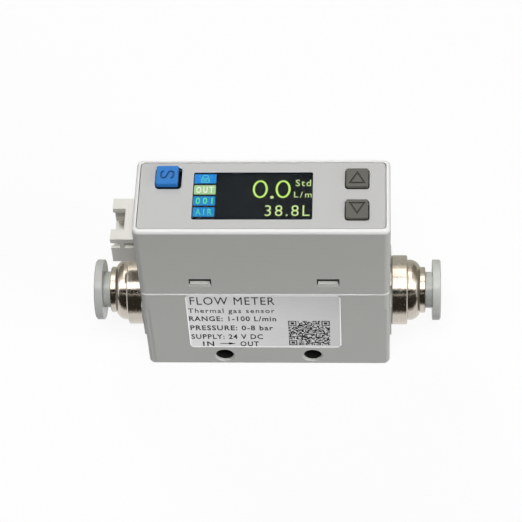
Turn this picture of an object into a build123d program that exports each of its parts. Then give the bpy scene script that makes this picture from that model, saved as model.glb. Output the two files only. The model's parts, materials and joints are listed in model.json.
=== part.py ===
"""Thermal mass flow meter with push-in tube fittings, a colour display and a side connector.

Millimetres. The origin is the middle of the flat underside. X runs along the flow, from the inlet
at -X to the outlet at +X, the label and the snap windows face -Y, and Z is up.
"""
from build123d import *
import math
import os

# Housing walls and edges
corner_radius = 1.25
foot_radius = 0.7
inside_radius = 0.3
parting_gap = 0.08
seam_bevel = 0.25
cover_bevel = 0.15
corner_step_width = 1.45
corner_step_depth = 0.15
corner_step_drop = 5.0
cover_wall = 1.3
cover_roof = 1.0
top_edge_radius = 0.72
rim_width = 0.75
port_pad_rise = 0.3
port_pad_height = 9.3

# Face plate, window and screen
panel_thickness = 0.8
panel_gap = 0.18
panel_corner = 0.9
panel_drop = 0.1
window_length = 22.5
window_width = 11.45
window_corner = 0.4
lens_thickness = 0.45
lens_gap = 0.04
lens_bond = 0.05
screen_glass_gap = 0.1
screen_length = 26.0
screen_border = 0.975
screen_side_gap = 0.8
screen_thickness = 1.6
holder_thickness = 1.2
holder_wall = 1.6

# Buttons, placed from the ends, the back wall and the screen
cap_size = 4.2
cap_extra_depth = 0.2
cap_corner = 0.4
cap_edge = 0.14
cap_gap = 0.2
set_cap_gap = 0.42
set_cap_shift = 0.17
hole_bevel = 0.15
set_button_proud = 0.95
arrow_button_proud = 0.5
button_travel = 0.3
flange_lip = 0.5
flange_thickness = 0.55
flange_play = 0.1
stem_radius = 1.0
set_button_end_gap = 3.42
set_button_screen_gap = 0.21
set_button_back_gap = 0.35
arrow_button_end_gap = 3.43
arrow_button_back_gap = 0.65
arrow_button_spacing_gap = 1.9
engrave_depth = 0.2
arrow_stroke = 0.35
arrow_width = 3.25
arrow_height = 3.0
letter_stroke = 0.42
letter_lobe = 0.5
letter_rise = 0.3
letter_lean = 22

# Tact switches under the buttons
switch_size = 3.5
switch_height = 1.6
plunger_radius = 0.8
plunger_length = 0.9
plunger_clearance = 0.05

# Small screws
screw_radius = 0.65
screw_head_radius = 1.3
screw_head_height = 0.9
screw_length = 3.2
screw_clearance = 0.05
driver_slot = 0.35

# Display board
board_thickness = 1.0
board_gap = 0.3
board_corner = 0.5
display_boss_radius = 1.5
display_boss_side_gap = 0.37
display_boss_wall_gap = 0.8
set_side_boss_shift = 0.7
set_side_boss_wall_gap = 2.0

# Main board and what stands on it
post_height = 4.15
post_radius = 1.5
post_end_distance = 7.0
main_board_thickness = 1.2
main_board_end_gap = 0.45
main_board_side_gap = 0.3
processor_size = 7.0
processor_height = 0.9
processor_x = -3.0
regulator_size = (4.2, 3.2, 1.4)
regulator_at = (6.5, -3.0)
capacitor_radius = 2.0
capacitor_height = 5.2
capacitor_foot = 1.0
capacitor_step = 0.1
capacitor_at = (12.0, 0.0)
link_strip_width = 2.0
link_strip_height = 2.0
link_pin_side = 0.5
link_pin_pitch = 1.27
display_link_end_distance = 3.7
display_link_pins = 6
sensor_link_y = 3.7
sensor_link_pins = 5

# Connector header, a side-entry socket with two lock ears
connector_width = 9.9
connector_height = 6.75
connector_headroom = 1.4
connector_reach = 4.9
connector_tail = 4.2
connector_side_wall = 0.65
connector_floor = 0.95
connector_back = 1.4
connector_slot_gap = 0.15
ear_width = 2.45
ear_thickness = 1.15
ear_gap = 1.45
ear_notch = 2.5
ear_pillar = 0.85
ear_pillar_inset = 0.8
pin_pitch = 2.5
pin_count = 3
pin_side = 0.64
pin_rise = 2.9
pin_recess = 0.9
pin_clearance = 0.01

# Cover snaps
snap_spacing = 24.4
snap_window_width = 4.3
snap_window_height = 2.25
snap_window_rise = 2.55
hook_side_gap = 0.25
hook_arm = 1.0
hook_wall_gap = 0.1
barb_inset = 0.15
barb_height = 1.8
barb_lip = 0.35

# Lip of the flow body inside the cover
lip_height = 1.0
lip_wall = 0.9
lip_gap = 0.1

# Flow passage
flow_height = 13.1
bore_radius = 3.0
mesh_disc_radius = 4.2
mesh_disc_thickness = 0.5
mesh_hole_radius = 0.36
mesh_hole_pitch = 1.05
restrictor_tap_gap = 0.6
restrictor_hole_radius = 0.75
restrictor_web = 0.35
press_gap = 0.02
tap_spacing = 8.8
tap_radius = 0.8

# Sensor in the roof of the flow body
channel_wall = 0.9
channel_depth = 1.2
channel_width = 2.2
pocket_depth = 5.2
pocket_end_gap = 0.35
pocket_width = 11.2
pocket_corner = 1.0
sensor_board_gap = 0.35
sensor_board_thickness = 1.0
gasket_thickness = 0.8
gasket_wall = 1.0
chip_size = (3.4, 1.6)
sensor_boss_radius = 1.25
sensor_boss_gap = 0.25

# Mounting holes through the depth
mount_hole_radius = 1.75
mount_hole_spacing = 17.5
mount_hole_height = 2.95
mount_hole_bevel = 0.25

# Label
label_length = 29.9
label_height = 17.2
label_thickness = 0.1
label_inset = 0.02
label_edge_gap = 0.1
label_corner = 1.0
label_x = -0.45
label_drop = 0.4

# Push-in fittings for 6 mm tube
socket_radius = 3.1
stem_radius_outside = 5.2
stem_clearance = 0.05
stem_depth = 8.5
throat_radius = 2.25
tube_stop_wall = 0.2
tube_land = 1.7
seal_pocket_radius = 4.0
seal_length = 2.0
seal_groove = 0.9
seal_lip = 0.28
claw_gap = 0.1
claw_ring_length = 0.8
claw_tooth_length = 1.3
claw_thickness = 0.3
claw_slits = 8
claw_slit_width = 0.5
ring_radius = 6.82
ring_length = 3.1
ring_bevel = 0.2
dome_radius = 5.9
dome_tip_radius = 4.6
dome_length = 2.5
guide_collar_length = 1.0
guide_collar_radius = 4.52
sleeve_wall = 0.45
sleeve_clearance = 0.05
release_travel = 1.2
release_gap = 0.2
flange_radius = 5.95
flange_length = 1.6
flange_bevel = 0.22
socket_bevel = 0.4
o_ring_section = 0.6
o_ring_gap = 0.03
o_ring_groove_width = 1.6
o_ring_groove_start = 1.2

# Depth of the housing, from the screen outwards
screen_width = window_width + 2 * screen_border
inner_depth = screen_width + 2 * screen_side_gap
body_depth = inner_depth + 2 * cover_wall
half_depth = body_depth / 2

# Length of the housing, from the buttons, the screen and the strip of screw bosses between them
button_flange = cap_size + 2 * (cap_gap + flange_lip)
boss_strip = 2 * (display_boss_radius + display_boss_side_gap)
left_of_screen = set_button_end_gap + button_flange + set_button_screen_gap
right_of_screen = boss_strip + button_flange + arrow_button_end_gap
body_length = left_of_screen + screen_length + right_of_screen
half_length = body_length / 2
inner_length = body_length - 2 * cover_wall
window_x = left_of_screen + screen_length / 2 - half_length
set_button_at = (set_button_end_gap + button_flange / 2 - half_length,
                 inner_depth / 2 - set_button_back_gap - button_flange / 2)
up_button_at = (half_length - arrow_button_end_gap - button_flange / 2,
                inner_depth / 2 - arrow_button_back_gap - button_flange / 2)
down_button_at = (up_button_at[0], up_button_at[1] - button_flange - arrow_button_spacing_gap)
strip_x = window_x + screen_length / 2 + boss_strip / 2
strip_y = inner_depth / 2 - display_boss_radius - display_boss_wall_gap
display_boss_at = ((strip_x, strip_y), (strip_x, -strip_y),
                   (set_button_at[0] - set_side_boss_shift,
                    display_boss_radius + set_side_boss_wall_gap - inner_depth / 2))

# Heights, from the flow bore up to the rim
channel_floor = flow_height + bore_radius + channel_wall
pocket_floor = channel_floor + channel_depth
sensor_board_under = pocket_floor + gasket_thickness
sensor_board_top = sensor_board_under + sensor_board_thickness
parting_height = pocket_floor + pocket_depth
main_board_under = parting_height + post_height
main_board_top = main_board_under + main_board_thickness
connector_top = main_board_top + connector_height
display_board_under = connector_top + connector_headroom
display_board_top = display_board_under + board_thickness
holder_top = display_board_top + holder_thickness
roof_under = holder_top + screen_thickness
roof_top = roof_under + cover_roof
panel_top = roof_top + panel_thickness
body_height = panel_top + panel_drop
lens_under = panel_top - lens_thickness
flange_top = roof_under - flange_play
switch_top = display_board_top + switch_height
plunger_top = switch_top + button_travel + plunger_clearance

# Boards, sensor pocket and label
main_board_half_depth = inner_depth / 2 - hook_wall_gap - hook_arm - main_board_side_gap
post_x = half_length - post_end_distance
post_y = main_board_half_depth - post_radius
screw_hole = screw_radius + screw_clearance
gasket_end = (tap_spacing + channel_width) / 2 + gasket_wall
sensor_screw_spacing = 2 * (gasket_end + sensor_boss_gap + sensor_boss_radius)
pocket_length = sensor_screw_spacing + 2 * (sensor_boss_radius + pocket_end_gap)
restrictor_length = tap_spacing - 2 * (tap_radius + restrictor_tap_gap)
restrictor_ring_radius = bore_radius - restrictor_web - restrictor_hole_radius
label_recess = label_thickness + label_inset
label_middle = parting_height - label_drop - label_height / 2
display_link_x = half_length - display_link_end_distance

# Positions along a fitting, from the outlet port face outwards
port_face = half_length + port_pad_rise
stem_end = port_face - stem_depth
groove_start = stem_end + o_ring_groove_start
groove_end = groove_start + o_ring_groove_width
groove_radius = stem_radius_outside + stem_clearance - 2 * (o_ring_section + o_ring_gap)
tube_stop = groove_end + tube_stop_wall
pocket_from = tube_stop + tube_land
claw_start = pocket_from + seal_length + claw_gap
claw_ring_end = claw_start + claw_ring_length
claw_tip = claw_ring_end + claw_tooth_length
guide_start = claw_ring_end + claw_gap
ring_end = port_face + ring_length
dome_end = ring_end + dome_length
collar_end = dome_end + guide_collar_length
neck_radius = socket_radius + sleeve_wall
guide_inner = neck_radius + sleeve_clearance
sleeve_inner_end = claw_tip + release_travel + release_gap
flange_start = collar_end + release_travel + release_gap
flange_end = flange_start + flange_length
flow_axis = Axis((0, 0, flow_height), (1, 0, 0))


def block(x, y, z):
    """Box between two limits on each axis."""
    size = [high - low for low, high in (x, y, z)]
    centre = [(high + low) / 2 for low, high in (x, y, z)]
    return Pos(*centre) * Box(*size)


def rounded_block(length, depth, radius, low, high, at=(0, 0)):
    """Upright block with rounded vertical corners, centred on a point."""
    outline = Pos(at[0], at[1], low) * RectangleRounded(length, depth, radius)
    return extrude(outline, high - low, dir=(0, 0, 1))


def slot_block(spacing, width, low, high):
    """Upright block along the flow with fully round ends."""
    return extrude(Pos(0, 0, low) * SlotCenterToCenter(spacing, width), high - low, dir=(0, 0, 1))


def upright(radius, low, high, at):
    """Upright cylinder."""
    return Pos(at[0], at[1], (low + high) / 2) * Cylinder(radius, high - low)


def along_flow(radius, start, end, y=0.0, z=flow_height):
    """Cylinder parallel to the flow."""
    return Pos((start + end) / 2, y, z) * Rot(0, 90, 0) * Cylinder(radius, end - start)


def on_profile(point):
    """Point of a turned profile in space, from its position and radius."""
    return (point[0], 0, flow_height + point[1])


def turned(*points):
    """Solid turned about the flow axis from (position, radius) corners."""
    face = make_face(Polyline(*[on_profile(point) for point in points], close=True))
    return revolve(face, flow_axis)


def slotted_screw(at, seat, length, up=False):
    """Small slotted screw with its head on a seat, pointing down, or up from below a board."""
    shank = upright(screw_radius, -length, 0, (0, 0))
    head = upright(screw_head_radius, 0, screw_head_height, (0, 0))
    head = fillet(head.edges().group_by(Axis.Z)[-1], screw_head_height / 3)
    slot = block((-screw_head_radius, screw_head_radius), (-driver_slot / 2, driver_slot / 2),
                 (screw_head_height / 2, screw_head_height))
    screw = head + shank - slot
    if up:
        screw = Rot(180, 0, 0) * screw
    return Pos(at[0], at[1], seat) * screw


def cap_outline(at, gap, low, high):
    """Upright block with the outline of a button cap, grown by a gap."""
    return rounded_block(cap_size + 2 * gap, cap_size + cap_extra_depth + 2 * gap, cap_corner + gap,
                         low, high, at)


def cap_places():
    """Middle of each button's hole, with the gap round its cap."""
    return [(set_button_at, set_cap_gap), (up_button_at, cap_gap), (down_button_at, cap_gap)]


def snap_places():
    """Middle of each snap, with the sign of the face that it is in."""
    return [(sx * snap_spacing / 2, sy) for sx in (-1, 1) for sy in (-1, 1)]


def depth_range(sign, inner, outer):
    """Limits in Y between two distances from the middle, on one side."""
    return tuple(sorted((sign * inner, sign * outer)))


def upper_cover():
    """Moulded cover with a recessed roof for the face plate and a cut-out for the connector."""
    base = parting_height + parting_gap
    shell = rounded_block(body_length, body_depth, corner_radius, base, body_height)
    shell = fillet(shell.edges().group_by(Axis.Z)[-1], top_edge_radius)
    shell = chamfer(shell.edges().group_by(Axis.Z)[0], cover_bevel)
    shell -= rounded_block(inner_length, inner_depth, inside_radius, base, roof_under)
    shell -= rounded_block(body_length - 2 * rim_width, body_depth - 2 * rim_width, panel_corner,
                           roof_top, body_height)
    shell -= rounded_block(window_length, window_width, window_corner, roof_under, roof_top,
                           (window_x, 0))
    for at, gap in cap_places():
        shell -= cap_outline(at, gap, roof_under, roof_top)
    for at in display_boss_at:
        shell += upright(display_boss_radius, display_board_top, roof_under, at)
        shell -= upright(screw_hole, display_board_top, roof_under, at)
    window_low = parting_height + snap_window_rise
    for x, sign in snap_places():
        shell -= block((x - snap_window_width / 2, x + snap_window_width / 2),
                       depth_range(sign, inner_depth / 2, half_depth),
                       (window_low, window_low + snap_window_height))
    slot = connector_width / 2 + connector_slot_gap
    shell -= block((-half_length, -inner_length / 2), (-slot, slot),
                   (main_board_top - connector_slot_gap, connector_top + connector_slot_gap))
    return shell


def snap_hook(x, sign):
    """Hook that springs into a window of the cover, with a sloped barb."""
    arm_outer = inner_depth / 2 - hook_wall_gap
    arm_inner = arm_outer - hook_arm
    barb_outer = half_depth - barb_inset
    low = parting_height + snap_window_rise + hook_side_gap / 2
    high = low + barb_height
    half_width = snap_window_width / 2 - hook_side_gap
    corners = [(arm_inner, parting_height), (arm_inner, high), (arm_outer, high),
               (barb_outer, low + barb_lip), (barb_outer, low), (arm_outer, low),
               (arm_outer, parting_height)]
    face = make_face(Polyline(*[(x - half_width, sign * y, z) for y, z in corners], close=True))
    return extrude(face, 2 * half_width, dir=(1, 0, 0))


def port_bore():
    """Stepped bore for the outlet fitting and its mesh disc."""
    seat = along_flow(stem_radius_outside + stem_clearance, stem_end, port_face)
    disc_seat = along_flow(mesh_disc_radius + press_gap, stem_end - mesh_disc_thickness, stem_end)
    return seat + disc_seat


def sensor_pocket():
    """Pocket, sensing channel and the two taps down to the main bore."""
    pocket = rounded_block(pocket_length, pocket_width, pocket_corner, pocket_floor, parting_height)
    tap = tap_spacing / 2
    channel = slot_block(tap_spacing, channel_width, channel_floor, pocket_floor)
    taps = [upright(tap_radius, flow_height, channel_floor, (x, 0)) for x in (-tap, tap)]
    return pocket + channel + taps[0] + taps[1]


def flow_body():
    """Moulded lower body: flow bore, ports, sensor pocket, posts, hooks and mounting holes."""
    body = rounded_block(body_length, body_depth, corner_radius, 0, parting_height)
    body = fillet(body.edges().group_by(Axis.Z)[0], foot_radius)
    body = chamfer(body.edges().group_by(Axis.Z)[-1], seam_bevel)
    for sx in (-1, 1):
        for sy in (-1, 1):
            ends = sorted((sx * (half_length - corner_step_width), sx * half_length))
            body -= block(ends, depth_range(sy, half_depth - corner_step_depth, half_depth),
                          (0, parting_height - corner_step_drop))
    pad_low = flow_height - port_pad_height / 2
    body += block((-port_face, port_face), (corner_radius - half_depth, half_depth - corner_radius),
                  (pad_low, pad_low + port_pad_height))
    lip_length = inner_length - 2 * lip_gap
    lip_depth = inner_depth - 2 * lip_gap
    lip_top = parting_height + lip_height
    lip = rounded_block(lip_length, lip_depth, inside_radius, parting_height, lip_top)
    lip -= rounded_block(lip_length - 2 * lip_wall, lip_depth - 2 * lip_wall, inside_radius,
                         parting_height, lip_top)
    body += lip
    for x, sign in snap_places():
        body += snap_hook(x, sign)
    body -= sensor_pocket()
    for at in main_screw_places():
        body += upright(post_radius, parting_height, main_board_under, at)
        body -= upright(screw_hole, main_board_under - screw_length, main_board_under, at)
    for at in sensor_screw_places():
        body += upright(sensor_boss_radius, pocket_floor, sensor_board_under, at)
        body -= upright(screw_hole, channel_floor, sensor_board_under, at)
    body -= along_flow(bore_radius, -half_length, half_length)
    body -= port_bore()
    body -= Rot(0, 0, 180) * port_bore()
    for x in (-mount_hole_spacing / 2, mount_hole_spacing / 2):
        hole = Pos(x, 0, mount_hole_height) * Rot(90, 0, 0) * Cylinder(mount_hole_radius, body_depth)
        mouth = mount_hole_radius + mount_hole_bevel
        for sign in (-1, 1):
            bevel = Rot(-90 * sign, 0, 0) * Cone(mount_hole_radius, mouth, mount_hole_bevel)
            hole += Pos(x, sign * (half_depth - mount_hole_bevel / 2), mount_hole_height) * bevel
        body -= hole
    body -= label_shape(label_edge_gap, label_recess)
    return body


def label_shape(grow, thickness):
    """Rounded plate let into the front face."""
    outline = RectangleRounded(label_length + 2 * grow, label_height + 2 * grow, label_corner)
    plate = extrude(Rot(90, 0, 0) * outline, thickness, dir=(0, 1, 0))
    return Pos(label_x, -half_depth, label_middle) * plate


def label():
    """Printed label in its recess."""
    return Pos(0, label_inset, 0) * label_shape(0, label_thickness)


def face_plate():
    """Flat plate in the cover's rim, with the window and the three button holes."""
    plate = rounded_block(body_length - 2 * rim_width - 2 * panel_gap,
                          body_depth - 2 * rim_width - 2 * panel_gap, panel_corner - panel_gap,
                          roof_top, panel_top)
    plate -= rounded_block(window_length, window_width, window_corner, roof_top, panel_top,
                           (window_x, 0))
    for at, gap in cap_places():
        plate -= cap_outline(at, gap, roof_top, panel_top)
        mouth = cap_outline(at, gap + hole_bevel, panel_top - hole_bevel, panel_top + hole_bevel)
        plate -= chamfer(mouth.edges().group_by(Axis.Z)[0], hole_bevel)
    return plate


def display_lens():
    """Clear window in the face plate, bonded over the screen."""
    return rounded_block(window_length - 2 * lens_gap, window_width - 2 * lens_gap,
                         window_corner - lens_gap, lens_under, panel_top, (window_x, 0))


def display_screen():
    """Colour screen: glass that stands up through the roof, on a shallow tray under it."""
    tray = rounded_block(screen_length, screen_width, window_corner, holder_top, roof_under,
                         (window_x, 0))
    gap = screen_glass_gap
    glass = rounded_block(window_length - 2 * gap, window_width - 2 * gap, window_corner - gap,
                          roof_under, lens_under - lens_bond, (window_x, 0))
    return tray + glass


def screen_holder():
    """Moulded frame that carries the screen on the display board."""
    frame = rounded_block(screen_length, screen_width, window_corner, display_board_top, holder_top,
                          (window_x, 0))
    return frame - rounded_block(screen_length - 2 * holder_wall, screen_width - 2 * holder_wall,
                                 window_corner, display_board_top, holder_top, (window_x, 0))


def stroke_s():
    """Letter S lying on its side, as one line of even width."""
    lobe = letter_lobe
    rise = letter_rise
    lean = math.radians(letter_lean)
    spread = (lobe + rise * math.sin(lean)) / math.cos(lean)
    tip = (-spread, rise + lobe)
    curl = (-spread - lobe * math.sqrt(0.5), rise + lobe * math.sqrt(0.5))
    shoulder = (-spread - lobe, rise)
    turn = (-spread - lobe, -rise)
    low = (-spread, -rise - lobe)
    leave = (lobe * math.cos(lean) - spread, -rise - lobe * math.sin(lean))
    half = [ThreePointArc(tip, curl, shoulder), Line(shoulder, turn), ThreePointArc(turn, low, leave)]
    other = [Rot(0, 0, 180) * edge for edge in half]
    middle = Line(leave, (-leave[0], -leave[1]))
    return trace(half + [middle] + other, letter_stroke)


def arrow(direction):
    """Outline of a triangle that points up (1) or down (-1) the face plate."""
    outer = Polyline((-arrow_width / 2, -direction * arrow_height / 2),
                     (arrow_width / 2, -direction * arrow_height / 2),
                     (0, direction * arrow_height / 2), close=True)
    face = make_face(outer)
    return face - offset(face, -arrow_stroke, kind=Kind.INTERSECTION)


def button(at, proud, sign, shift=0.0):
    """Cap with an engraved sign, a retaining flange and a stem. The cap may sit off its middle."""
    top = panel_top + proud
    middle = (at[0] - shift, at[1])
    cap = cap_outline(middle, 0, flange_top, top)
    cap = fillet(cap.edges().group_by(Axis.Z)[-1], cap_edge)
    flange_under = flange_top - flange_thickness
    cap += rounded_block(button_flange, button_flange, cap_corner, flange_under, flange_top, at)
    cap += upright(stem_radius, plunger_top, flange_under, at)
    sunk = Pos(middle[0], middle[1], top - engrave_depth) * sign
    return cap - extrude(sunk, engrave_depth, dir=(0, 0, 1))


def tact_switch(at):
    """Square switch body with a round bore for its plunger."""
    body = rounded_block(switch_size, switch_size, inside_radius, display_board_top, switch_top, at)
    bottom = plunger_top - plunger_length - button_travel - plunger_clearance
    return body - upright(plunger_radius + plunger_clearance, bottom, switch_top, at)


def switch_plunger(at):
    """Round plunger between the switch and the button's stem."""
    return upright(plunger_radius, plunger_top - plunger_length, plunger_top, at)


def display_board():
    """Board under the roof that carries the screen and the switches."""
    board = rounded_block(inner_length - 2 * board_gap, inner_depth - 2 * board_gap, board_corner,
                          display_board_under, display_board_top)
    for at in display_boss_at:
        board -= upright(screw_hole, display_board_under, display_board_top, at)
    return board


def display_screws():
    """Three screws up through the display board into the cover's bosses."""
    shank = roof_under - display_board_under - screw_clearance
    return Compound([slotted_screw(at, display_board_under, shank, up=True)
                     for at in display_boss_at])


def main_board():
    """Board on the four posts of the flow body."""
    half = inner_length / 2 - main_board_end_gap
    board = block((-half, half), (-main_board_half_depth, main_board_half_depth),
                  (main_board_under, main_board_top))
    for at in main_screw_places():
        board -= upright(screw_hole, main_board_under, main_board_top, at)
    return board


def main_screw_places():
    """Screw positions on the main board."""
    return [(x, y) for x in (-post_x, post_x) for y in (-post_y, post_y)]


def main_board_screws():
    """Four screws down through the main board into the posts."""
    shank = screw_length + main_board_thickness - screw_clearance
    return Compound([slotted_screw(at, main_board_top, shank) for at in main_screw_places()])


def pin_strip(x, y, low, high, count, along_x):
    """Moulded strip with its pins, between two boards."""
    half = count * link_pin_pitch / 2
    across = link_strip_width / 2
    side = link_pin_side / 2
    middle = (low + high) / 2
    span_x, span_y = ((-half, half), (-across, across)) if along_x else ((-across, across), (-half, half))
    strip = block((x + span_x[0], x + span_x[1]), (y + span_y[0], y + span_y[1]),
                  (middle - link_strip_height / 2, middle + link_strip_height / 2))
    for index in range(count):
        step = (index - (count - 1) / 2) * link_pin_pitch
        px = x + step if along_x else x
        py = y if along_x else y + step
        strip += block((px - side, px + side), (py - side, py + side), (low, high))
    return strip


def processor_chip():
    """Square chip package with a bevelled top."""
    half = processor_size / 2
    chip = block((processor_x - half, processor_x + half), (-half, half),
                 (main_board_top, main_board_top + processor_height))
    return chamfer(chip.edges().group_by(Axis.Z)[-1], processor_height / 4)


def power_regulator():
    """Regulator package on the main board."""
    length, width, height = regulator_size
    x, y = regulator_at
    return block((x - length / 2, x + length / 2), (y - width / 2, y + width / 2),
                 (main_board_top, main_board_top + height))


def supply_capacitor():
    """Can capacitor on its square foot."""
    foot = rounded_block(2 * capacitor_radius, 2 * capacitor_radius, inside_radius, main_board_top,
                         main_board_top + capacitor_foot, capacitor_at)
    can = upright(capacitor_radius - capacitor_step, main_board_top,
                  main_board_top + capacitor_height, capacitor_at)
    return foot + can


def connector_header():
    """Side-entry socket with an open mouth, windows under its two ears and a bar at the wall."""
    mouth = -half_length - connector_reach
    inner_end = -half_length + connector_tail
    half = connector_width / 2
    ear_under = connector_top - ear_thickness
    shroud_back = -inner_length / 2 - connector_back / 2
    body = block((mouth, inner_end), (-half, half), (main_board_top, connector_top))
    cavity_half = half - connector_side_wall
    body -= block((mouth, shroud_back), (-cavity_half, cavity_half),
                  (main_board_top + connector_floor, ear_under))
    notch_half = half - ear_width
    bar_face = mouth + ear_notch
    body -= block((mouth, bar_face), (-notch_half, notch_half), (ear_under, connector_top))
    window_low = ear_under - ear_gap
    pillar_face = bar_face - ear_pillar_inset
    body -= block((mouth, pillar_face), (-half, half), (window_low, ear_under))
    body -= block((pillar_face + ear_pillar, -port_face), (-half, half), (window_low, ear_under))
    body -= block((-inner_length / 2 + connector_back, inner_end), (-half, half),
                  (window_low, connector_top))
    for y in pin_places():
        body -= connector_pin(y, pin_clearance)
    return body


def pin_places():
    """Positions of the contact pins across the connector."""
    return [(index - (pin_count - 1) / 2) * pin_pitch for index in range(pin_count)]


def connector_pin(y, grow):
    """Square pin from the mouth through the back wall and down to the board."""
    side = pin_side / 2 + grow
    height = main_board_top + pin_rise
    tail = -half_length + connector_tail + pin_side
    tip = -half_length - connector_reach + pin_recess
    pin = block((tip, tail + side), (y - side, y + side), (height - side, height + side))
    return pin + block((tail - side, tail + side), (y - side, y + side), (main_board_top, height + side))


def connector_pins():
    """The contact pins as a group."""
    return Compound([connector_pin(y, 0.0) for y in pin_places()])


def sensor_board():
    """Small board over the sensing channel."""
    board = rounded_block(pocket_length - 2 * sensor_board_gap, pocket_width - 2 * sensor_board_gap,
                          pocket_corner, sensor_board_under, sensor_board_top)
    for at in sensor_screw_places():
        board -= upright(screw_hole, sensor_board_under, sensor_board_top, at)
    return board


def sensor_screw_places():
    """Screw positions on the sensor board."""
    return [(-sensor_screw_spacing / 2, 0), (sensor_screw_spacing / 2, 0)]


def sensor_chip():
    """Thermal sensor chip under its board, facing the channel."""
    length, width = chip_size
    return block((-length / 2, length / 2), (-width / 2, width / 2), (pocket_floor, sensor_board_under))


def sensor_gasket():
    """Flat gasket round the sensing channel."""
    outer = slot_block(tap_spacing, channel_width + 2 * gasket_wall, pocket_floor, sensor_board_under)
    return outer - slot_block(tap_spacing, channel_width, pocket_floor, sensor_board_under)


def sensor_screws():
    """Two screws that clamp the sensor board on its bosses."""
    shank = sensor_board_top - channel_floor - screw_clearance
    return Compound([slotted_screw(at, sensor_board_top, shank) for at in sensor_screw_places()])


def hex_places(pitch, limit):
    """Centres of a hexagonal pattern inside a circle."""
    rows = int(limit / pitch) + 2
    places = []
    for row in range(-rows, rows + 1):
        for column in range(-rows, rows + 1):
            y = (column + row / 2) * pitch
            z = row * pitch * math.sqrt(3) / 2
            if math.hypot(y, z) < limit:
                places.append((y, z))
    return places


def mesh_disc():
    """Perforated disc that evens the flow, at the inner end of the outlet fitting."""
    start = stem_end - mesh_disc_thickness
    disc = along_flow(mesh_disc_radius, start, stem_end)
    limit = throat_radius + mesh_hole_pitch / 2
    for y, z in hex_places(mesh_hole_pitch, limit):
        disc -= along_flow(mesh_hole_radius, start, stem_end, y, flow_height + z)
    return disc


def flow_restrictor():
    """Laminar element between the two taps, with seven straight channels."""
    half = restrictor_length / 2
    element = along_flow(bore_radius - press_gap, -half, half)
    element -= along_flow(restrictor_hole_radius, -half, half)
    for index in range(6):
        angle = math.radians(60 * index)
        element -= along_flow(restrictor_hole_radius, -half, half,
                              restrictor_ring_radius * math.cos(angle),
                              flow_height + restrictor_ring_radius * math.sin(angle))
    return element


def fitting_body():
    """Turned and plated fitting: stem with a gland, shoulder ring, dome and stepped bore."""
    tip = (dome_end, dome_tip_radius)
    root = (ring_end, dome_radius)
    middle = (ring_end + dome_length * math.sqrt(0.5),
              dome_tip_radius + (dome_radius - dome_tip_radius) * math.sqrt(0.5))
    outline = [tip, (dome_end, seal_pocket_radius), (pocket_from, seal_pocket_radius),
               (pocket_from, socket_radius), (tube_stop, socket_radius), (tube_stop, throat_radius),
               (stem_end, throat_radius), (stem_end, stem_radius_outside - ring_bevel),
               (stem_end + ring_bevel, stem_radius_outside), (groove_start, stem_radius_outside),
               (groove_start, groove_radius), (groove_end, groove_radius),
               (groove_end, stem_radius_outside), (port_face, stem_radius_outside),
               (port_face, ring_radius - ring_bevel), (port_face + ring_bevel, ring_radius),
               (ring_end - ring_bevel, ring_radius), (ring_end, ring_radius - ring_bevel), root]
    straight = Polyline(*[on_profile(point) for point in outline])
    dome = ThreePointArc(on_profile(root), on_profile(middle), on_profile(tip))
    return revolve(make_face(straight.edges() + dome.edges()), flow_axis)


def o_ring():
    """Ring seal in the gland of the stem."""
    middle = (groove_start + groove_end) / 2
    radius = groove_radius + o_ring_gap + o_ring_section
    return Pos(middle, 0, flow_height) * Rot(0, 90, 0) * Torus(radius, o_ring_section)


def tube_seal():
    """Lip seal round the tube, open towards the pressure side."""
    outer = seal_pocket_radius - press_gap
    end = pocket_from + seal_length
    return turned((pocket_from, outer), (end, outer), (end, socket_radius), (pocket_from, socket_radius),
                  (pocket_from, socket_radius + seal_lip),
                  (pocket_from + seal_groove, socket_radius + seal_lip),
                  (pocket_from + seal_groove, outer - seal_lip), (pocket_from, outer - seal_lip))


def grip_claw():
    """Sprung ring whose slit teeth lean in on the tube."""
    outer = seal_pocket_radius - press_gap
    root = neck_radius - sleeve_clearance
    claw = turned((claw_start, outer), (claw_ring_end, outer), (claw_ring_end, root),
                  (claw_tip, socket_radius + claw_thickness), (claw_tip, socket_radius),
                  (claw_ring_end, root - claw_thickness), (claw_start, root - claw_thickness))
    for index in range(claw_slits // 2):
        slit = block((claw_ring_end - claw_ring_length / 2, claw_tip), (-outer, outer),
                     (-claw_slit_width / 2, claw_slit_width / 2))
        claw -= Pos(0, 0, flow_height) * Rot(360 / claw_slits * index, 0, 0) * slit
    return claw


def guide_ring():
    """Pressed-in ring that keeps the claw and the seal and guides the sleeve."""
    outer = seal_pocket_radius - press_gap
    bevel = ring_bevel / 2
    return turned((guide_start, outer), (dome_end, outer), (dome_end, guide_collar_radius),
                  (collar_end - bevel, guide_collar_radius), (collar_end, guide_collar_radius - bevel),
                  (collar_end, guide_inner), (guide_start, guide_inner))


def release_sleeve():
    """Sleeve with a round flange that is pushed in to release the tube."""
    return turned((sleeve_inner_end, socket_radius), (sleeve_inner_end, neck_radius),
                  (flange_start, neck_radius), (flange_start, flange_radius - flange_bevel / 2),
                  (flange_start + flange_bevel / 2, flange_radius),
                  (flange_end - flange_bevel, flange_radius), (flange_end, flange_radius - flange_bevel),
                  (flange_end, socket_radius + socket_bevel), (flange_end - socket_bevel, socket_radius))


def both_sides(maker):
    """The outlet piece and its copy turned round for the inlet."""
    piece = maker()
    return {"outlet": piece, "inlet": Rot(0, 0, 180) * piece}


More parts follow.
